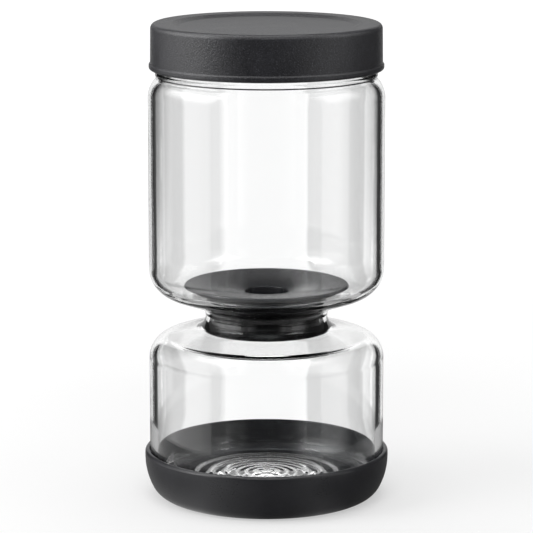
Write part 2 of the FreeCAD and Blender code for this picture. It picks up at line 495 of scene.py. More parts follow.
@dataclass(frozen=True)
class ClearGlass(Finish):
    """Blown glass: faint waves of the wall, tool streaks over the waist and a thin film of handling."""

    tint: Colour = (0.996, 0.998, 0.998, 1.0)
    shade: Colour = (0.94, 0.95, 0.95, 1.0)
    index: float = 1.474
    wave_scale: float = 26.0
    wave_depth: float = 0.00008
    film_scale: float = 140.0
    film_span: Point = (0.5, 0.85)
    film_roughness: float = 0.025
    streak_height: float = 0.0885
    streak_half: Point = (0.003, 0.006)
    streak_scale: float = 60.0
    streak_squash: float = 9.0
    streak_share: float = 1.6

    def draw(self, graph: Graph) -> None:
        """Refracting glass that lets lamps and soft light through to what it holds.

        Args:
            graph: Graph to draw in.
        """
        film = graph.noise(self.film_scale, detail=4.0)
        squash = {0: graph.places(), 1: (1.0, 1.0, self.streak_squash)}
        squashed = graph.add("ShaderNodeVectorMath", squash, operation="MULTIPLY").outputs[0]
        inputs = {"Vector": squashed, "Scale": self.streak_scale, "Detail": 1.0}
        streaks = graph.add("ShaderNodeTexNoise", inputs).outputs["Fac"]
        height = graph.add("ShaderNodeSeparateXYZ", {0: graph.places()}).outputs["Z"]
        off = graph.math("ABSOLUTE", graph.math("SUBTRACT", height, self.streak_height))
        share = graph.span(off, self.streak_half, (self.streak_share, 0.0), smooth=True)
        tooled = graph.math("MULTIPLY", streaks, share)
        relief = graph.math("ADD", graph.noise(self.wave_scale, detail=1.0), tooled)
        waves = graph.bump(relief, self.wave_depth)
        glass = graph.add(
            "ShaderNodeBsdfPrincipled",
            {
                "Base Color": self.tint,
                "IOR": self.index,
                "Transmission Weight": 1.0,
                "Roughness": graph.span(film, self.film_span, (0.0, self.film_roughness)),
                "Normal": waves,
            },
        )
        clear = graph.add("ShaderNodeBsdfTransparent", {"Color": self.shade}).outputs[0]
        shader = glass.outputs[0]
        for kind in (Ray.SHADOW, Ray.DIFFUSE):
            shader = graph.add("ShaderNodeMixShader", {0: graph.rays(kind), 1: shader, 2: clear}).outputs[0]
        graph.end(shader)


@dataclass(frozen=True)
class GrainFinish(Finish):
    """Opaque finish with a fine grain, a cloudy tone and, where it has them, light flecks."""

    dark: Colour
    light: Colour
    roughness: Point
    grain_scale: float
    grain_depth: float
    grain_strength: float = 0.5
    grain_share: float = 0.55
    cloud_scale: float = 70.0
    tone_span: Point = (0.3, 0.7)
    gloss_span: Point = (0.25, 0.75)
    fleck: Colour | None = None
    fleck_scale: float = 2600.0
    fleck_span: Point = (0.56, 0.9)
    metallic: float = 0.0
    specular: float = 0.5

    def draw(self, graph: Graph) -> None:
        """Tone from clouds and grain together, roughness and relief from the grain.

        Args:
            graph: Graph to draw in.
        """
        grain = graph.noise(self.grain_scale, detail=3.0, roughness=0.6)
        cloud = graph.noise(self.cloud_scale, detail=3.0)
        clouds = graph.math("MULTIPLY", cloud, 1 - self.grain_share)
        blend = graph.math("MULTIPLY_ADD", grain, self.grain_share, clouds)
        tone = graph.ramp(blend, list(zip(self.tone_span, (self.dark, self.light))))
        if self.fleck:
            specks = graph.noise(self.fleck_scale, detail=0.0)
            sparkle = graph.span(specks, self.fleck_span, (0.0, 1.0))
            mix = graph.add("ShaderNodeMix", {0: sparkle, 6: tone, 7: self.fleck}, data_type="RGBA")
            tone = mix.outputs[2]
        shader = graph.add(
            "ShaderNodeBsdfPrincipled",
            {
                "Base Color": tone,
                "Metallic": self.metallic,
                "Roughness": graph.span(blend, self.gloss_span, self.roughness),
                "Specular IOR Level": self.specular,
                "Normal": graph.bump(grain, self.grain_depth, self.grain_strength),
            },
        )
        graph.end(shader.outputs[0])


CLEAR_GLASS = ClearGlass("blown_glass")
LID_COAT = GrainFinish(
    "powder_coat",
    dark=charcoal(0.005),
    light=charcoal(0.03),
    roughness=(0.27, 0.38),
    specular=0.42,
    grain_scale=1500.0,
    grain_depth=0.0004,
    fleck=charcoal(0.07),
)
BASE_SILICONE = GrainFinish(
    "soft_cup_silicone",
    dark=charcoal(0.014),
    light=charcoal(0.028),
    roughness=(0.25, 0.35),
    grain_scale=2400.0,
    grain_depth=0.00005,
)
FUNNEL_PLASTIC = GrainFinish(
    "moulded_plastic",
    dark=charcoal(0.016),
    light=charcoal(0.024),
    roughness=(0.2, 0.28),
    grain_scale=4200.0,
    grain_depth=0.00002,
)
SEAL_SILICONE = GrainFinish(
    "black_seal_rubber",
    dark=charcoal(0.001),
    light=charcoal(0.002),
    roughness=(0.2, 0.28),
    grain_scale=3800.0,
    grain_depth=0.00002,
    specular=0.2,
)
LINER_PLASTIC = GrainFinish(
    "inner_cap_plastic",
    dark=charcoal(0.03),
    light=charcoal(0.045),
    roughness=(0.38, 0.5),
    grain_scale=3000.0,
    grain_depth=0.00002,
)
GASKET_SILICONE = GrainFinish(
    "milky_rubber",
    dark=(0.62, 0.62, 0.6, 1.0),
    light=(0.74, 0.74, 0.72, 1.0),
    roughness=(0.42, 0.55),
    grain_scale=2400.0,
    grain_depth=0.00002,
)
STRAINER_STEEL = GrainFinish(
    "etched_steel",
    dark=grey(0.48),
    light=grey(0.6),
    roughness=(0.24, 0.4),
    grain_scale=1800.0,
    grain_depth=0.00001,
    metallic=1.0,
)


def seat(piece: Piece, body: Body, slot: str, finish: Finish, *nodes: str) -> Piece:
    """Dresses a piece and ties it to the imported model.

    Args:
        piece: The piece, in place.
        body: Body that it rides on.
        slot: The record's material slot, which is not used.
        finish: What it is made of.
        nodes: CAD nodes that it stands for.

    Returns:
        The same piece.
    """
    finish.dress(piece)
    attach(piece, body.value)
    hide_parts(*nodes)
    return piece


# Sub-assemblies


@dataclass(frozen=True)
class Vessel:
    """Hourglass of clear glass, with ripples in its floor and a thread on its neck."""

    radius: float = 50.0 * MM
    wall: float = 3.2 * MM
    waist_height: float = 78.5 * MM
    waist_radius: float = 25.95 * MM
    lower_slope: float = 13.0
    lower_throat_round: float = 5.5 * MM
    lower_shoulder_round: float = 10.3 * MM
    upper_slope: float = 19.4
    upper_throat_round: float = 4.9 * MM
    upper_floor_round: float = 12.5 * MM
    upper_floor_inner_round: float = 8.4 * MM
    shoulder_height: float = 171.9 * MM
    shoulder_round: float = 11.6 * MM
    neck_step: float = 3.6 * MM
    neck_height: float = 26.7 * MM
    crease_round: float = 1.0 * MM
    foot: float = 3.5 * MM
    floor: float = 5.8 * MM
    foot_round: float = 10.0 * MM
    inner_foot_round: float = 6.0 * MM
    punt_radius: float = 24.0 * MM
    punt_rise: float = 1.8 * MM
    boss_radius: float = 15.8 * MM
    boss_rise: float = 0.5 * MM
    ripple_count: int = 3
    ripple_land: float = 5.8 * MM
    ripple_rise: float = 0.5 * MM
    foot_rings: int = 2
    foot_ring_rise: float = 0.08 * MM
    boss_rings: int = 2
    boss_ring_rise: float = 0.12 * MM
    bead_height: float = 2.1 * MM
    bead_rise: float = 0.5 * MM
    thread_pitch: float = 6.0 * MM
    thread_turns: float = 1.25
    thread_width: float = 2.6 * MM
    thread_height: float = 0.36 * MM
    thread_drop: float = 12.4 * MM
    thread_row: float = 0.15 * MM
    thread_rows: int = 91

    @property
    def neck_radius(self) -> float:
        """Outside of the neck."""
        return self.radius - self.neck_step

    @property
    def chamber_radius(self) -> float:
        """Inside of both chambers."""
        return self.radius - self.wall

    @property
    def mouth_radius(self) -> float:
        """Inside of the neck."""
        return self.neck_radius - self.wall

    @property
    def throat_radius(self) -> float:
        """Inside of the waist."""
        return self.waist_radius - self.wall

    @property
    def rim_height(self) -> float:
        """Top of the glass."""
        return self.shoulder_height + self.neck_height

    @property
    def crease(self) -> Point:
        """Centre of the round between shoulder and neck.

        Returns:
            The centre, which is as far from the shoulder's as their radii together.
        """
        r = self.neck_radius + self.crease_round
        run = r - (self.radius - self.shoulder_round)
        rise = math.sqrt((self.shoulder_round + self.crease_round) ** 2 - run**2)
        return (r, self.shoulder_height + rise)

    @property
    def lower_drop(self) -> float:
        """How far under the waist the lower chamber's wall turns upright.

        Returns:
            The height between the two.
        """
        turn = math.radians(self.lower_slope)
        rounds = self.lower_throat_round + self.lower_shoulder_round
        run = self.radius - self.waist_radius - rounds * (1 - math.sin(turn))
        return rounds * math.cos(turn) + run * math.tan(turn)

    def lower_throat(self, inset: float) -> Arc:
        """Round under the waist, on the glass's outside or that far inside it, going up."""
        centre = (self.waist_radius + self.lower_throat_round, self.waist_height)
        return Arc(centre, self.lower_throat_round + inset, 270 - self.lower_slope, 180)

    def upper_throat(self, inset: float) -> Arc:
        """Round over the waist, going up."""
        centre = (self.waist_radius + self.upper_throat_round, self.waist_height)
        return Arc(centre, self.upper_throat_round + inset, 180, 90 + self.upper_slope)

    def floor_height(self, radius: float, inset: float) -> float:
        """Height of the upper chamber's sloping floor at a radius."""
        start = last_point(self.upper_throat(inset))
        return start[1] + (radius - start[0]) * math.tan(math.radians(self.upper_slope))

    def floor_corner(self, rounding: float, inset: float) -> Arc:
        """Round between the upper chamber's floor and its wall.

        Args:
            rounding: Its radius.
            inset: 0 on the glass's outside, the wall's thickness on its inside.

        Returns:
            The arc, going up.
        """
        r = self.radius - inset - rounding
        z = self.floor_height(r, inset) + rounding / math.cos(math.radians(self.upper_slope))
        return Arc((r, z), rounding, self.upper_slope - 90, 0)

    def side(self, inset: float) -> list[Item]:
        """Wall from the lower shoulder to the neck.

        Args:
            inset: 0 on the glass's outside, the wall's thickness on its inside.

        Returns:
            The arcs of that line, going up.
        """
        shoulder = (self.radius - self.shoulder_round, self.shoulder_height)
        crease = self.crease
        meet = math.degrees(math.atan2(crease[1] - shoulder[1], crease[0] - shoulder[0]))
        return [
            Arc(
                (self.radius - self.lower_shoulder_round, self.waist_height - self.lower_drop),
                self.lower_shoulder_round - inset,
                0,
                90 - self.lower_slope,
            ),
            self.lower_throat(inset),
            self.upper_throat(inset),
            self.floor_corner(self.upper_floor_inner_round if inset else self.upper_floor_round, inset),
            Arc(shoulder, self.shoulder_round - inset, 0, meet),
            Arc(crease, self.crease_round + inset, 180 + meet, 180),
        ]

    @staticmethod
    def swell(start: Point, end_radius: float, rise: float) -> list[Arc]:
        """Smooth step of a floor, level at both ends.

        Args:
            start: Outer end of the step.
            end_radius: Radius of its inner end.
            rise: How much higher the inner end is.

        Returns:
            A hollow arc and a crowned one, or the other way round where the step goes down.
        """
        half = (start[0] - end_radius) / 2
        radius = (half**2 + rise**2 / 4) / abs(rise)
        turn = math.copysign(math.degrees(math.asin(half / radius)), rise)
        hollow = math.copysign(90, rise)
        reach = math.copysign(radius, rise)
        return [
            Arc((start[0], start[1] + reach), radius, -hollow, -hollow - turn),
            Arc((end_radius, start[1] + rise - reach), radius, hollow - turn, hollow),
        ]

    def ripples(self, floor: float) -> list[Item]:
        """Raised rings of the inner floor.

        Args:
            floor: Height of the floor between them.

        Returns:
            The arcs, from the outermost ring inwards.
        """
        outermost = self.chamber_radius - self.inner_foot_round - self.ripple_land
        pitch = (outermost - self.boss_radius) / self.ripple_count
        rings: list[Item] = []
        for index in reversed(range(self.ripple_count)):
            inner = self.boss_radius + index * pitch
            crest = inner + pitch / 2
            rings += self.swell((inner + pitch, floor), crest, self.ripple_rise)
            rings += self.swell((crest, floor + self.ripple_rise), inner, -self.ripple_rise)
        return rings

    def boss(self, floor: float) -> list[Item]:
        """Low mound in the middle of the inner floor, with fine rings.

        Args:
            floor: Height of the floor round it.

        Returns:
            The arcs, from its foot to the axis.
        """
        foot, crown = self.swell((self.boss_radius, floor), 0.0, self.boss_rise)
        rings, rise = self.boss_rings, self.boss_ring_rise
        return [
            RippledArc(foot.centre, foot.radius, foot.start, foot.end, rings, rise),
            RippledArc(crown.centre, crown.radius, crown.start, crown.end, rings, -rise),
        ]

    def bead(self) -> Arc:
        """Low ring on the outside of the neck, right over its crease.

        Returns:
            The arc, going up.
        """
        half = self.bead_height / 2
        radius = (half**2 + self.bead_rise**2) / (2 * self.bead_rise)
        turn = math.degrees(math.asin(half / radius))
        return Arc((self.neck_radius + self.bead_rise - radius, self.crease[1] + half), radius, -turn, turn)

    def relief(self, r: float, z: float, turn: float) -> float:
        """Thread on the outside of the neck.

        Args:
            r: Radius of the plain surface.
            z: Height of the place.
            turn: Angle of the place about the axis, in radians.

        Returns:
            How far the surface stands out there.
        """
        if abs(r - self.neck_radius) > TOUCH:
            return 0.0
        return self.ridge(self.rim_height - self.thread_drop, self.thread_height)(r, z, turn)

    def ridge(self, foot: float, height: float) -> ThreadRidge:
        """Ridge of the thread, which starts at a height and rises that far."""
        return ThreadRidge(foot, self.thread_pitch, self.thread_turns, self.thread_width, height)

    def build(self) -> list[Piece]:
        """Turns the vessel and dresses it.

        Returns:
            The one piece.
        """
        floor = self.foot + self.floor
        rim = self.wall / 2
        outer_foot = (self.radius - self.foot_round, self.foot + self.foot_round)
        inner_foot = (self.chamber_radius - self.inner_foot_round, floor + self.inner_foot_round)
        bead_top = self.crease[1] + self.bead_height
        steps = range(1, self.thread_rows + 1)
        neck_rows = [(self.neck_radius, bead_top + self.thread_row * step) for step in steps]
        outside = [
            *backwards(self.swell((self.punt_radius, self.foot), 0.0, self.punt_rise)),
            Arc(outer_foot, self.foot_round, -90, 0),
            *self.side(0.0),
            self.bead(),
            *neck_rows,
            Arc((self.neck_radius - rim, self.rim_height - rim), rim, 0, 180),
        ]
        inside = [
            *backwards(self.side(self.wall)),
            RippledArc(inner_foot, self.inner_foot_round, 0, -90, self.foot_rings, self.foot_ring_rise),
            *self.ripples(floor),
            *self.boss(floor),
        ]
        lathe = Lathe("vessel_glass", outside + inside, segments=144, arc_step=3.0, relief=self.relief)
        return [seat(lathe.build(), Body.VESSEL, "clear_glass", CLEAR_GLASS, "glass_vessel")]


@dataclass(frozen=True)
class BaseCup:
    """Soft cup that the lower chamber stands in."""

    vessel: Vessel
    height: float = 20.45 * MM
    floor: float = 3.5 * MM
    rim_wall: float = 1.85 * MM
    rim_round: float = 1.4 * MM
    gap: float = 0.3 * MM
    lip: float = 3.2 * MM
    side_round: float = 26.7 * MM
    foot_round: float = 8.8 * MM
    corner_ease: float = 1.0 * MM
    sole_width: float = 10.0 * MM
    sole_rise: float = 0.8 * MM

    def build(self) -> list[Piece]:
        """Turns the cup and dresses it.

        Returns:
            The one piece.
        """
        inner = self.vessel.radius + self.gap
        outer = inner + self.rim_wall
        belly = self.height - self.lip
        side = (outer - self.side_round, belly)
        spread = self.side_round - self.foot_round
        foot = (side[0] + math.sqrt(spread**2 - (belly - self.foot_round) ** 2), self.foot_round)
        meet = math.degrees(math.atan2(foot[1] - side[1], foot[0] - side[0]))
        rim = self.rim_round
        lip = self.rim_wall - rim
        corner = self.vessel.foot_round - self.corner_ease
        sole = foot[0] - self.sole_width
        items: list[Item] = [
            (0.0, self.sole_rise),
            (sole - self.sole_rise, self.sole_rise),
            (sole, 0.0),
            Arc(foot, self.foot_round, -90, meet),
            Arc(side, self.side_round, meet, 0),
            Arc((outer - rim, self.height - rim), rim, 0, 90),
            Arc((inner + lip, self.height - lip), lip, 90, 180),
            Arc((inner - corner, self.floor + corner), corner, 0, -90),
            (0.0, self.floor),
        ]
        cup = Lathe("base_cup_skin", items).build()
        return [seat(cup, Body.BASE, "base_silicone", BASE_SILICONE, "base_cup")]


@dataclass(frozen=True)
class Funnel:
    """Drain funnel: trumpet dish, soft neck seal and strainer."""

    vessel: Vessel
    overlap: float = 12.45 * MM
    lift: float = 1.8 * MM
    edge: float = 1.8 * MM
    edge_round: float = 0.8 * MM
    under_round: float = 0.5 * MM
    slope: float = 5.8
    flat: float = 14.2 * MM
    trumpet_round: float = 115.0 * MM
    sheet: float = 1.8 * MM
    drain_radius: float = 9.4 * MM
    drain_lip_round: float = 0.4 * MM
    drain_wall: float = 2.2 * MM
    stem_wall: float = 1.8 * MM
    drain_inset: float = 1.0 * MM
    seal_gap: float = 0.3 * MM
    seal_press: float = 0.03 * MM
    grooves: tuple[tuple[float, float, float], ...] = (
        (199.0, 176.0, 0.5 * MM),
        (163.0, 147.0, 0.4 * MM),
        (135.0, 120.0, 0.4 * MM),
    )
    groove_power: float = 0.7
    seal_thickness: float = 2.4 * MM
    seal_fit: float = 0.05 * MM
    flange_inset: float = 4.2 * MM
    flange_round: float = 0.6 * MM
    snap_turn: float = 32.0
    snap_reach: float = 18.0
    snap_nose: float = 0.8 * MM
    strainer_step: float = 0.8 * MM
    strainer_depth: float = 1.2 * MM

    @property
    def radius(self) -> float:
        """Edge of the dish."""
        return self.vessel.throat_radius + self.overlap

    @property
    def stem_radius(self) -> float:
        """Outside of the stem that carries the seal."""
        return self.vessel.throat_radius - self.seal_gap - self.seal_thickness

    @property
    def seat_inset(self) -> float:
        """From the outside of the glass to the seal, which is squeezed against it."""
        return self.vessel.wall - self.seal_press

    def under(self, radius: float) -> float:
        """Height of the dish's sloping underside at a radius."""
        edge = self.vessel.floor_height(self.radius, self.vessel.wall) + self.lift
        return edge - (self.radius - radius) * math.tan(math.radians(self.slope))

    @property
    def nose(self) -> Arc:
        """Rounded end of the seal's lower lip.

        Returns:
            The arc, going up to the glass.
        """
        throat = self.vessel.lower_throat(self.vessel.wall + self.seal_gap + self.snap_nose)
        reach = self.snap_nose + self.seal_gap + self.seal_press
        turn = self.snap_turn + self.snap_reach
        return Arc(throat.at(180 + turn), reach, -90, turn)

    @property
    def stem_end(self) -> float:
        """Lower end of the stem."""
        throat = self.vessel.lower_throat(self.vessel.wall + self.seal_gap + self.snap_nose)
        return throat.at(180 + self.snap_turn)[1] - self.snap_nose

    def dish(self) -> list[Item]:
        """Half-section of the dish with its drain tube and stem.

        Returns:
            Its corners and arcs, from the strainer's seat up the drain and round outside.
        """
        under = self.under(self.radius)
        top = under + self.edge
        bend_radius = self.radius - self.flat
        bend = (bend_radius, top - self.flat * math.tan(math.radians(self.slope)))
        trumpet = on_circle(bend, self.trumpet_round, self.slope - 90)
        lip_r = self.drain_radius + self.drain_lip_round
        lip_reach = self.trumpet_round - self.drain_lip_round
        lip_z = trumpet[1] + math.sqrt(lip_reach**2 - (trumpet[0] - lip_r) ** 2)
        lip_turn = math.degrees(math.atan2(lip_z - trumpet[1], lip_r - trumpet[0]))
        inner_round = self.trumpet_round - self.sheet
        tube_radius = self.drain_radius + self.drain_wall
        stem_inner = self.stem_radius - self.stem_wall
        tube_end = self.stem_end + self.drain_inset
        ledge = tube_end + self.strainer_depth
        hollow = [math.degrees(math.acos((r - trumpet[0]) / inner_round)) for r in (stem_inner, tube_radius)]
        return [
            (self.drain_radius + self.strainer_step, tube_end),
            (self.drain_radius + self.strainer_step, ledge),
            (self.drain_radius, ledge),
            Arc((lip_r, lip_z), self.drain_lip_round, 180, lip_turn),
            Arc(trumpet, self.trumpet_round, lip_turn, 90 + self.slope),
            (self.radius, top, self.edge_round),
            (self.radius, under, self.under_round),
            (self.stem_radius, self.under(self.stem_radius)),
            (self.stem_radius, self.stem_end),
            (stem_inner, self.stem_end),
            Arc(trumpet, inner_round, hollow[0], hollow[1]),
            (tube_radius, tube_end),
        ]

    def grooved(self, arc: Arc) -> list[Item]:
        """Line along a round of the seal, drawn back from the glass in its grooves.

        Args:
            arc: The round, where the seal touches the glass.

        Returns:
            Points along it, about a degree apart.
        """
        points: list[Item] = []
        count = math.ceil(abs(arc.end - arc.start))
        for index in range(count + 1):
            angle = arc.start + (arc.end - arc.start) * index / count
            depth = 0.0
            for start, end, deepest in self.grooves:
                if end < angle < start:
                    share = math.sin(math.pi * (angle - end) / (start - end))
                    depth = deepest * share**self.groove_power
            points.append(on_circle(arc.centre, arc.radius + depth, angle))
        return points

    def seal(self) -> list[Item]:
        """Half-section of the grooved sleeve that is pressed into the glass throat.

        Returns:
            Its corners and arcs, from the lower lip up along the glass.
        """
        inner = self.stem_radius + self.seal_fit
        flange = self.radius - self.flange_inset
        lower = self.vessel.lower_throat(self.seat_inset)
        return [
            (inner, self.stem_end),
            self.nose,
            *self.grooved(Arc(lower.centre, lower.radius, 180 + self.nose.end, 180)),
            *self.grooved(self.vessel.upper_throat(self.seat_inset)),
            (flange, self.vessel.floor_height(flange, self.seat_inset), self.flange_round),
            (flange, self.under(flange)),
            (inner, self.under(inner)),
        ]

    def build(self) -> list[Piece]:
        """Turns the dish and the seal, and dresses them and the strainer.

        Returns:
            The three pieces.
        """
        dish = Lathe("funnel_trumpet", self.dish(), arc_step=2.5).build()
        seal = Lathe("neck_sleeve", self.seal()).build()
        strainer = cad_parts["strainer_disc"]
        STRAINER_STEEL.dress(strainer)
        return [
            seat(dish, Body.FUNNEL, "funnel_plastic", FUNNEL_PLASTIC, "funnel_dish"),
            seat(seal, Body.FUNNEL, "seal_silicone", SEAL_SILICONE, "neck_seal"),
            strainer,
        ]


@dataclass(frozen=True)
class Lid:
    """Screw lid: drawn shell, threaded liner and gasket."""

    vessel: Vessel
    thread_room: float = 0.8 * MM
    liner_wall: float = 0.95 * MM
    liner_top: float = 1.4 * MM
    liner_fit: float = 0.05 * MM
    liner_inset: float = 0.6 * MM
    sheet: float = 0.5 * MM
    draft: float = 0.2 * MM
    neck_bare: float = 3.23 * MM
    edge_round: float = 2.2 * MM
    ring_width: float = 9.2 * MM
    panel_depth: float = 1.2 * MM
    panel_ramp: float = 2.7 * MM
    panel_round: float = 0.9 * MM
    bead_height: float = 2.8 * MM
    bead_proud: float = 0.6 * MM
    bead_round: float = 0.55 * MM
    gasket_thickness: float = 1.6 * MM
    gasket_overhang: float = 1.2 * MM
    gasket_play: float = 0.2 * MM
    gasket_round: float = 0.3 * MM
    gasket_seat: float = 0.05 * MM
    keeper_wall: float = 1.0 * MM
    keeper_depth: float = 1.1 * MM
    thread_height: float = 0.34 * MM
    thread_lift: float = 2.0 * MM
    thread_row: float = 0.25 * MM

    @property
    def gasket_under(self) -> float:
        """Underside of the gasket."""
        return self.vessel.rim_height + self.gasket_seat

    @property
    def liner_under(self) -> float:
        """Underside of the liner's top."""
        return self.gasket_under + self.gasket_thickness

    @property
    def panel_under(self) -> float:
        """Underside of the shell's panel."""
        return self.liner_under + self.liner_top

    @property
    def foot(self) -> float:
        """Lower edge of the shell."""
        return self.vessel.crease[1] + self.neck_bare

    @property
    def liner_inner(self) -> float:
        """Inside of the liner's skirt."""
        return self.vessel.neck_radius + self.thread_room

    @property
    def gasket_inner(self) -> float:
        """Inside of the gasket."""
        return self.vessel.mouth_radius - self.gasket_overhang

    def shell(self) -> list[Item]:
        """Half-section of the shell: sunk panel, raised ring, skirt and rolled bead.

        Returns:
            Its corners, along the outside and back along the inside.
        """
        radius = self.liner_inner + self.liner_wall + self.liner_fit + self.sheet
        foot_radius = radius + self.draft
        ring_inner = radius - self.ring_width
        panel_radius = ring_inner - self.panel_ramp
        panel_top = self.panel_under + self.sheet
        top = panel_top + self.panel_depth
        bead_top = self.foot + self.bead_height
        bead_radius = foot_radius + self.bead_proud
        return [
            (0.0, panel_top),
            (panel_radius, panel_top, self.panel_round),
            (ring_inner, top, self.panel_round),
            (radius, top, self.edge_round),
            (foot_radius, bead_top),
            (bead_radius, bead_top - self.bead_proud, self.bead_round),
            (bead_radius, self.foot, 2 * self.bead_round),
            (foot_radius - self.sheet, self.foot, self.bead_round / 2),
            (radius - self.sheet, top - self.sheet, self.edge_round - self.sheet),
            (ring_inner, top - self.sheet, self.panel_round),
            (panel_radius, self.panel_under, self.panel_round),
            (0.0, self.panel_under),
        ]

    def liner(self) -> list[Item]:
        """Half-section of the inner cap.

        Returns:
            Its corners, with close rows where the thread is.
        """
        outer = self.liner_inner + self.liner_wall
        foot = self.foot + self.liner_inset
        keeper = self.gasket_inner - self.gasket_play
        rows = int((self.liner_under - foot) / self.thread_row)
        skirt = [(self.liner_inner, foot + self.thread_row * step) for step in range(1, rows)]
        return [
            (0.0, self.panel_under),
            (outer, self.panel_under, self.liner_wall),
            (outer, foot),
            (self.liner_inner, foot),
            *skirt,
            (self.liner_inner, self.liner_under),
            (keeper, self.liner_under),
            (keeper, self.liner_under - self.keeper_depth),
            (keeper - self.keeper_wall, self.liner_under - self.keeper_depth),
            (keeper - self.keeper_wall, self.liner_under),
            (0.0, self.liner_under),
        ]

    def thread(self, r: float, z: float, turn: float) -> float:
        """Ridge of the thread inside the liner's skirt, between those of the neck.

        Args:
            r: Radius of the plain surface.
            z: Height of the place.
            turn: Angle of the place about the axis, in radians.

        Returns:
            How far the surface stands out there, which is below 0 because the ridge stands in.
        """
        if abs(r - self.liner_inner) > TOUCH or z > self.gasket_under:
            return 0.0
        vessel = self.vessel
        foot = vessel.rim_height - vessel.thread_drop - vessel.thread_pitch / 2 + self.thread_lift
        return -vessel.ridge(foot, self.thread_height)(r, z, turn)

    def gasket(self) -> list[Item]:
        """Half-section of the flat ring on the glass rim.

        Returns:
            Its four corners.
        """
        outer = self.liner_inner - self.gasket_play
        return [
            (self.gasket_inner, self.gasket_under, self.gasket_round),
            (outer, self.gasket_under, self.gasket_round),
            (outer, self.liner_under),
            (self.gasket_inner, self.liner_under),
        ]

    def build(self) -> list[Piece]:
        """Turns the shell, the liner and the gasket and dresses them.

        Returns:
            The three pieces.
        """
        shell = Lathe("lid_cap", self.shell(), segments=192).build()
        liner = Lathe("lid_inner_cap", self.liner(), segments=192, relief=self.thread).build()
        gasket = Lathe("lid_ring", self.gasket()).build()
        return [
            seat(shell, Body.LID, "lid_coating", LID_COAT, "lid_shell"),
            seat(liner, Body.LID, "liner_plastic", LINER_PLASTIC, "lid_liner"),
            seat(gasket, Body.LID_SEAL, "gasket_silicone", GASKET_SILICONE, "lid_gasket"),
        ]


# Stage


@dataclass(frozen=True)
class Lamp:
    """Soft box that lights the pieces."""

    name: str
    place: tuple[float, float, float]
    width: float
    height: float
    power: float
    target: tuple[float, float, float] = (0.0, 0.0, 0.1)

    def build(self) -> None:
        """Hangs the lamp."""
        data = bpy.data.lights.new(self.name, "AREA")
        data.shape = "RECTANGLE"
        data.size = self.width
        data.size_y = self.height
        data.energy = self.power
        data.cycles.use_multiple_importance_sampling = False
        lamp = bpy.data.objects.new(self.name, data)
        lamp.location = self.place
        aim = Vector(self.target) - Vector(self.place)
        lamp.rotation_euler = aim.to_track_quat("-Z", "Y").to_euler()
        lamp.visible_camera = False
        bpy.context.scene.collection.objects.link(lamp)


@dataclass(frozen=True)
class Spot:
    """Small soft lamp on the light tent, with its place and its half-sizes."""

    angle: float
    height: float
    half_angle: float
    half_height: float
    strength: float


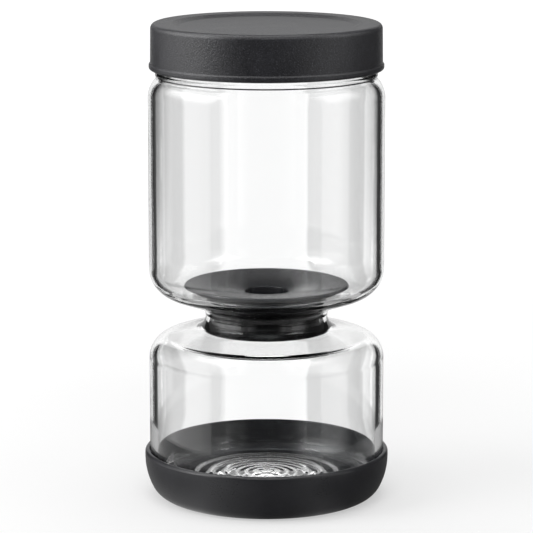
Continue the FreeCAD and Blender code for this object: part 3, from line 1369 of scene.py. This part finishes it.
@dataclass(frozen=True)
class Panels:
    """Tones of the light tent by angle in degrees, or by height.

    Each kind of ray sees its own: gloss, a look straight through clear glass, or a turn inside it.
    Angles run from straight behind the object, and below 0 to its left.

    Attributes:
        gloss: Panels that outer surfaces reflect, by angle.
        bands: What shows straight through the glass, by angle.
        boxes: Soft boxes over the panels, by angle.
        back_rise: Share of the panel behind that gloss sees, by height.
        backdrop: What the dish reflects, by height.
        over_floor: What the rippled glass floor reflects, by angle.
    """

    gloss: tuple[Point, ...] = (
        (-180.0, 0.04), (-165.0, 0.04), (-140.0, 0.6), (-120.0, 1.45), (-88.0, 1.45), (-72.0, 0.4),
        (-57.0, 0.2), (-55.0, 0.04), (-41.5, 0.04), (-39.5, 0.64), (39.5, 0.64), (41.5, 0.04),
        (55.0, 0.04), (57.0, 0.14), (100.0, 0.1), (114.0, 0.85), (142.0, 0.85), (160.0, 0.04),
        (180.0, 0.04),
    )
    bands: tuple[Point, ...] = (
        (-45.0, 0.45), (-38.0, 0.42), (-33.0, 0.5), (-28.6, 0.7), (-27.8, 0.52), (-24.0, 0.54),
        (-19.5, 0.58), (-18.2, 0.81), (-12.6, 0.8), (-11.8, 0.75), (-9.9, 0.75), (-8.4, 0.98),
        (8.1, 0.98), (8.8, 0.7), (11.2, 0.7), (11.9, 0.75), (18.4, 0.8), (19.1, 0.7), (24.8, 0.68),
        (25.6, 0.92), (33.0, 0.9), (38.0, 0.6), (45.0, 0.45),
    )
    boxes: tuple[Point, ...] = (
        (-180.0, 0.0), (-134.0, 0.0), (-126.0, 1.0), (-72.0, 1.0), (-64.0, 0.0), (80.0, 0.0),
        (88.0, 0.7), (122.0, 0.7), (130.0, 0.0), (180.0, 0.0),
    )
    box_height: Point = (0.19, 0.25)
    box_strength: float = 2.6
    back_rise: tuple[Point, ...] = (
        (0.19, 1.0), (0.2, 0.35), (0.22, 0.45), (0.25, 1.5), (0.275, 1.5), (0.31, 0.05),
        (0.5, 0.05),
    )
    belt_height: float = 0.053
    belt_tone: float = 0.2
    belt_half: Point = (0.006, 0.014)
    belt_from: Point = (66.0, 76.0)
    backdrop: tuple[Point, ...] = (
        (0.085, 1.35), (0.1, 0.8), (0.12, 0.4), (0.135, 0.25), (0.16, 0.1), (0.2, 0.1),
    )
    backdrop_sides: tuple[Point, Point] = ((2.0, 6.0), (1.1, 0.72))
    backdrop_turn: Point = (32.0, 42.0)
    backdrop_foot: Point = (0.075, 0.085)
    dish_spots: tuple[Spot, ...] = (Spot(5.0, 0.121, 4.0, 0.013, 1.5),)
    side_spots: tuple[Spot, ...] = (Spot(-105.0, 0.3, 34.0, 0.16, 4.0), Spot(117.0, 0.3, 30.0, 0.16, 4.0))
    over_floor: tuple[Point, ...] = (
        (-45.0, 1.15), (-20.0, 1.2), (-9.0, 1.25), (-6.0, 1.3), (-4.0, 2.8), (4.0, 2.8), (6.0, 1.3),
        (9.0, 1.25), (20.0, 1.2), (45.0, 1.15),
    )
    gain: float = 1.13
    edge_turn: float = 48.0
    edge_half: Point = (6.4, 8.0)
    edge_dark: float = 0.02
    edge_light: float = 1.15
    edge_from: Point = (39.0, 40.0)

    def turn(self, graph: Graph) -> Socket:
        """Angle about the axis in turns, 0 behind the object and rising to its right."""
        apart = graph.add("ShaderNodeSeparateXYZ", {0: graph.places()})
        return graph.math("DIVIDE", graph.math("ARCTAN2", apart.outputs["X"], apart.outputs["Y"]), FULL_TURN)

    def aside(self, graph: Graph) -> Socket:
        """Angle from straight behind the object, to either side, in degrees."""
        return graph.math("MULTIPLY", graph.math("ABSOLUTE", self.turn(graph)), CIRCLE)

    @staticmethod
    def height(graph: Graph) -> Socket:
        """Height over the table."""
        return graph.add("ShaderNodeSeparateXYZ", {0: graph.places()}).outputs["Z"]

    @staticmethod
    def tones(graph: Graph, turn: Socket, stops: Sequence[Point], span: float) -> Socket:
        """Tone by angle, repeated every span degrees."""
        place = graph.math("FRACT", graph.math("MULTIPLY_ADD", turn, CIRCLE / span, 0.5))
        return graph.ramp(place, [(angle / span + 0.5, grey(tone)) for angle, tone in stops])

    def upwards(self, graph: Graph, stops: Sequence[Point]) -> Socket:
        """Tone by height.

        Args:
            graph: Graph to add to.
            stops: Heights and their tones, going up.

        Returns:
            The tone's socket, held below the first stop and above the last.
        """
        low, high = stops[0][0], stops[-1][0]
        place = graph.span(self.height(graph), (low, high), (0.0, 1.0))
        return graph.ramp(place, [((z - low) / (high - low), grey(tone)) for z, tone in stops])

    def lit(self, graph: Graph, spots: Sequence[Spot]) -> Socket:
        """Light of spots on the tent's wall.

        Args:
            graph: Graph to add to.
            spots: The spots.

        Returns:
            Socket of the sum of their tones.
        """
        turn, height = self.turn(graph), self.height(graph)
        total: float | Socket = 0.0
        for spot in spots:
            aside = graph.math("SUBTRACT", turn, spot.angle / CIRCLE)
            across = graph.math("DIVIDE", aside, spot.half_angle / CIRCLE)
            above = graph.math("SUBTRACT", height, spot.height)
            upward = graph.math("DIVIDE", above, spot.half_height)
            squares = [graph.math("MULTIPLY", part, part) for part in (across, upward)]
            tone = graph.span(graph.math("ADD", *squares), (0.0, 1.0), (spot.strength, 0.0), smooth=True)
            total = graph.math("ADD", tone, total)
        return total

    def seen_in_gloss(self, graph: Graph) -> Socket:
        """Tone that a glossy surface reflects: panels at the object's height and soft boxes over them.

        Args:
            graph: Graph to add to.

        Returns:
            The tone's socket.
        """
        turn = self.turn(graph)
        height = self.height(graph)
        raised = graph.span(height, self.box_height, (0.0, self.box_strength), smooth=True)
        boxes = graph.math("MULTIPLY", self.tones(graph, turn, self.boxes, CIRCLE), raised)
        off = graph.math("ABSOLUTE", graph.math("SUBTRACT", height, self.belt_height))
        gap = graph.span(off, self.belt_half, (1.0 - self.belt_tone, 0.0), smooth=True)
        ahead = graph.span(self.aside(graph), self.belt_from, (0.0, 1.0), smooth=True)
        open_part = graph.math("SUBTRACT", 1.0, graph.math("MULTIPLY", gap, ahead))
        back = graph.choose(self.behind(graph), 1.0, self.upwards(graph, self.back_rise))
        walls = graph.math("MULTIPLY", self.tones(graph, turn, self.gloss, CIRCLE), back)
        return graph.math("ADD", graph.math("MULTIPLY", walls, open_part), boxes)

    def seen_over_dish(self, graph: Graph) -> Socket:
        """Tone that the dish inside the glass reflects: a backdrop that falls off upwards, with a spot.

        Args:
            graph: Graph to add to.

        Returns:
            The tone's socket.
        """
        fall = self.upwards(graph, self.backdrop)
        sides = graph.span(self.aside(graph), *self.backdrop_sides, smooth=True)
        return graph.math("ADD", graph.math("MULTIPLY", fall, sides), self.lit(graph, self.dish_spots))

    def behind(self, graph: Graph) -> Socket:
        """1 on the backdrop behind the object, 0 to its sides and in front."""
        return graph.span(self.aside(graph), self.backdrop_turn, (1.0, 0.0), smooth=True)

    def high(self, graph: Graph) -> Socket:
        """1 at the upper chamber's height, 0 at the lower one's."""
        return graph.span(self.height(graph), self.backdrop_foot, (0.0, 1.0), smooth=True)

    def seen_over_floor(self, graph: Graph) -> Socket:
        """Tone that the ripples in the glass floor reflect: bright panels with the brightest behind."""
        return self.tones(graph, self.turn(graph), self.over_floor, QUARTER)

    def seen_through_glass(self, graph: Graph, turn: Socket) -> Socket:
        """Tone behind clear glass."""
        return graph.math("MULTIPLY", self.tones(graph, turn, self.bands, QUARTER), self.gain)

    def along_floor(self, graph: Graph, radius: float) -> Socket:
        """Angle of the tent's wall straight behind a place of the floor, in turns."""
        aside = graph.add("ShaderNodeSeparateXYZ", {0: graph.places()}).outputs["X"]
        return graph.math("DIVIDE", graph.math("ARCSINE", graph.math("DIVIDE", aside, radius)), FULL_TURN)

    def corners(self, graph: Graph) -> Socket:
        """Tone that glass reflects inside itself, dark in the corners between two panels.

        Args:
            graph: Graph to add to.

        Returns:
            The tone's socket.
        """
        quarter = graph.math("FRACT", graph.math("DIVIDE", self.aside(graph), QUARTER))
        off = graph.math("ABSOLUTE", graph.math("SUBTRACT", quarter, self.edge_turn / QUARTER))
        degrees = graph.math("MULTIPLY", off, QUARTER)
        brightest = 1.0 + self.box_strength
        wall = graph.span(degrees, self.edge_half, (self.edge_dark, brightest), smooth=True)
        return graph.math("MINIMUM", wall, self.seen_in_gloss(graph))

    def turned_in(self, graph: Graph) -> Socket:
        """Tone that the outer wall shows at its edge: the corners, and a light line outside them."""
        rim = graph.span(self.aside(graph), self.edge_from, (self.edge_light, 0.0))
        return graph.math("MAXIMUM", rim, self.corners(graph))

    def among(self, graph: Graph) -> Socket:
        """Tone that surfaces inside the vessel reflect from beside it: the corners and two spots."""
        return graph.math("ADD", self.corners(graph), self.lit(graph, self.side_spots))


@dataclass(frozen=True)
class Studio:
    """Pale floor, light tent, lamps and camera."""

    panels: Panels = Panels()
    floor_radius: float = 4.0
    floor_albedo: float = 0.5
    floor_glow: Point = (0.5, 0.86)
    floor_reach: Point = (0.12, 1.0)
    floor_bent: float = 0.5
    floor_gloss: tuple[Point, ...] = (
        (-180.0, 0.11), (-160.0, 0.42), (-142.0, 0.8), (-120.0, 0.5), (-95.0, 0.3), (95.0, 0.1),
        (130.0, 0.1), (150.0, 0.36), (170.0, 0.13), (180.0, 0.11),
    )
    sky: float = 0.38
    tent_radius: float = 0.15
    tent_height: float = 0.62
    bent_from: float = 0.5
    inside_from: float = 2.5
    soft_boxes: tuple[Lamp, ...] = (
        Lamp("left_box", place=(-0.95, -0.35, 0.55), width=0.6, height=0.9, power=5.5),
        Lamp("right_box", place=(0.95, -0.25, 0.55), width=0.5, height=0.9, power=0.3),
        Lamp("top_box", place=(0.0, 0.15, 1.25), width=0.9, height=0.9, power=5.0),
        Lamp("front_box", place=(0.0, -0.75, 0.95), width=0.7, height=0.35, power=3.0),
    )
    focus_height: float = 99.29 * MM
    distance: float = 1229.2 * MM
    elevation: float = 10.94
    lens: float = 195.1
    sensor: float = 36.0
    farthest: float = 50.0

    def world(self) -> None:
        """White to the camera and to gloss and glass, soft grey light to the rest."""
        world = bpy.data.worlds.new("studio")
        world.use_nodes = True
        graph = Graph(world.node_tree)
        seen = graph.rays(Ray.CAMERA, Ray.GLOSSY, Ray.TRANSMISSION)
        level = graph.choose(seen, self.sky, 1.0)
        shader = graph.add("ShaderNodeBackground", {"Color": grey(1.0), "Strength": level})
        graph.end(shader.outputs[0], "ShaderNodeOutputWorld")
        bpy.context.scene.world = world

    @staticmethod
    def stand(name: str, mesh: bmesh.types.BMesh, material: bpy.types.Material) -> bpy.types.Object:
        """Stage object of a mesh.

        Args:
            name: The object's name.
            mesh: Its shape, which is used up.
            material: Its material, which lights nothing by itself.

        Returns:
            The object, linked to the scene.
        """
        data = bpy.data.meshes.new(name)
        mesh.to_mesh(data)
        mesh.free()
        material.cycles.emission_sampling = "NONE"
        data.materials.append(material)
        stage = bpy.data.objects.new(name, data)
        bpy.context.scene.collection.objects.link(stage)
        return stage

    def bent(self, graph: Graph, path: bpy.types.Node) -> Socket:
        """1 where a ray has been reflected on its way, 0 where it hasn't."""
        return graph.math("GREATER_THAN", path.outputs["Glossy Depth"], self.bent_from)

    def floor(self) -> None:
        """Pale disc that keeps the object's shadow and is white in full light."""
        mesh = bmesh.new()
        bmesh.ops.create_circle(mesh, cap_ends=True, segments=96, radius=self.floor_radius)
        material, graph = new_material("floor_paper")
        length = graph.add("ShaderNodeVectorMath", {0: graph.places()}, operation="LENGTH")
        plain = graph.span(length.outputs["Value"], self.floor_reach, self.floor_glow)
        path = graph.add("ShaderNodeLightPath")
        glow = graph.math("MULTIPLY", path.outputs[Ray.CAMERA.value], plain)
        paper = graph.add("ShaderNodeBsdfDiffuse", {"Color": grey(self.floor_albedo)})
        light = graph.add("ShaderNodeEmission", {"Color": grey(1.0), "Strength": glow})
        lit = graph.add("ShaderNodeAddShader", {0: paper.outputs[0], 1: light.outputs[0]})
        panels = self.panels
        ahead = panels.seen_through_glass(graph, panels.along_floor(graph, self.tent_radius))
        through = graph.choose(self.bent(graph, path), ahead, self.floor_bent)
        around = panels.tones(graph, panels.turn(graph), self.floor_gloss, CIRCLE)
        tone = graph.choose(path.outputs[Ray.TRANSMISSION.value], around, through)
        mirrored = graph.add("ShaderNodeEmission", {"Color": grey(1.0), "Strength": tone})
        aside = graph.rays(Ray.GLOSSY, Ray.TRANSMISSION)
        both = {0: aside, 1: lit.outputs[0], 2: mirrored.outputs[0]}
        graph.end(graph.add("ShaderNodeMixShader", both).outputs[0])
        self.stand("floor", mesh, material)

    def tent(self) -> None:
        """Round light tent that only gloss and glass see."""
        mesh = bmesh.new()
        radius, height = self.tent_radius, self.tent_height
        bmesh.ops.create_cone(
            mesh, cap_ends=False, segments=128, radius1=radius, radius2=radius, depth=height
        )
        bmesh.ops.translate(mesh, verts=mesh.verts, vec=(0.0, 0.0, height / 2))
        material, graph = new_material("tent_panels")
        path = graph.add("ShaderNodeLightPath")
        panels = self.panels
        inside = graph.math("GREATER_THAN", path.outputs["Transmission Depth"], self.inside_from)
        over = graph.choose(panels.high(graph), panels.seen_over_floor(graph), panels.seen_over_dish(graph))
        beside = graph.choose(inside, panels.turned_in(graph), panels.among(graph))
        around = graph.choose(graph.math("MULTIPLY", inside, panels.behind(graph)), beside, over)
        ahead = panels.seen_through_glass(graph, panels.turn(graph))
        through = graph.choose(self.bent(graph, path), ahead, around)
        level = graph.choose(path.outputs[Ray.TRANSMISSION.value], panels.seen_in_gloss(graph), through)
        shader = graph.add("ShaderNodeEmission", {"Color": grey(1.0), "Strength": level})
        graph.end(shader.outputs[0])
        tent = self.stand("light_tent", mesh, material)
        tent.visible_camera = False
        tent.visible_diffuse = False
        tent.visible_shadow = False

    def camera(self) -> None:
        """Camera at the photograph's viewing angle."""
        data = bpy.data.cameras.new("camera")
        data.sensor_width = self.sensor
        data.lens = self.lens
        data.clip_end = self.farthest
        camera = bpy.data.objects.new("camera", data)
        rise = math.radians(self.elevation)
        focus = Vector((0.0, 0.0, self.focus_height))
        camera.location = focus + Vector((0.0, -math.cos(rise), math.sin(rise))) * self.distance
        camera.rotation_euler = (focus - camera.location).to_track_quat("-Z", "Y").to_euler()
        bpy.context.scene.collection.objects.link(camera)
        bpy.context.scene.camera = camera

    def build(self) -> None:
        """Sets up the whole stage."""
        self.world()
        self.floor()
        self.tent()
        for box in self.soft_boxes:
            box.build()
        self.camera()
        bpy.context.scene.view_settings.view_transform = "Standard"
        LOG.info("stage: floor, tent, lamps and camera")


def main() -> None:
    """Builds the object and its stage."""
    logging.basicConfig(level=logging.INFO, format="%(name)s %(message)s")
    vessel = Vessel()
    for assembly in (vessel, BaseCup(vessel), Funnel(vessel), Lid(vessel)):
        for piece in assembly.build():
            LOG.info("%s: %d faces", piece.name, len(piece.data.polygons))
    Studio().build()


if __name__ == "__main__":
    main()
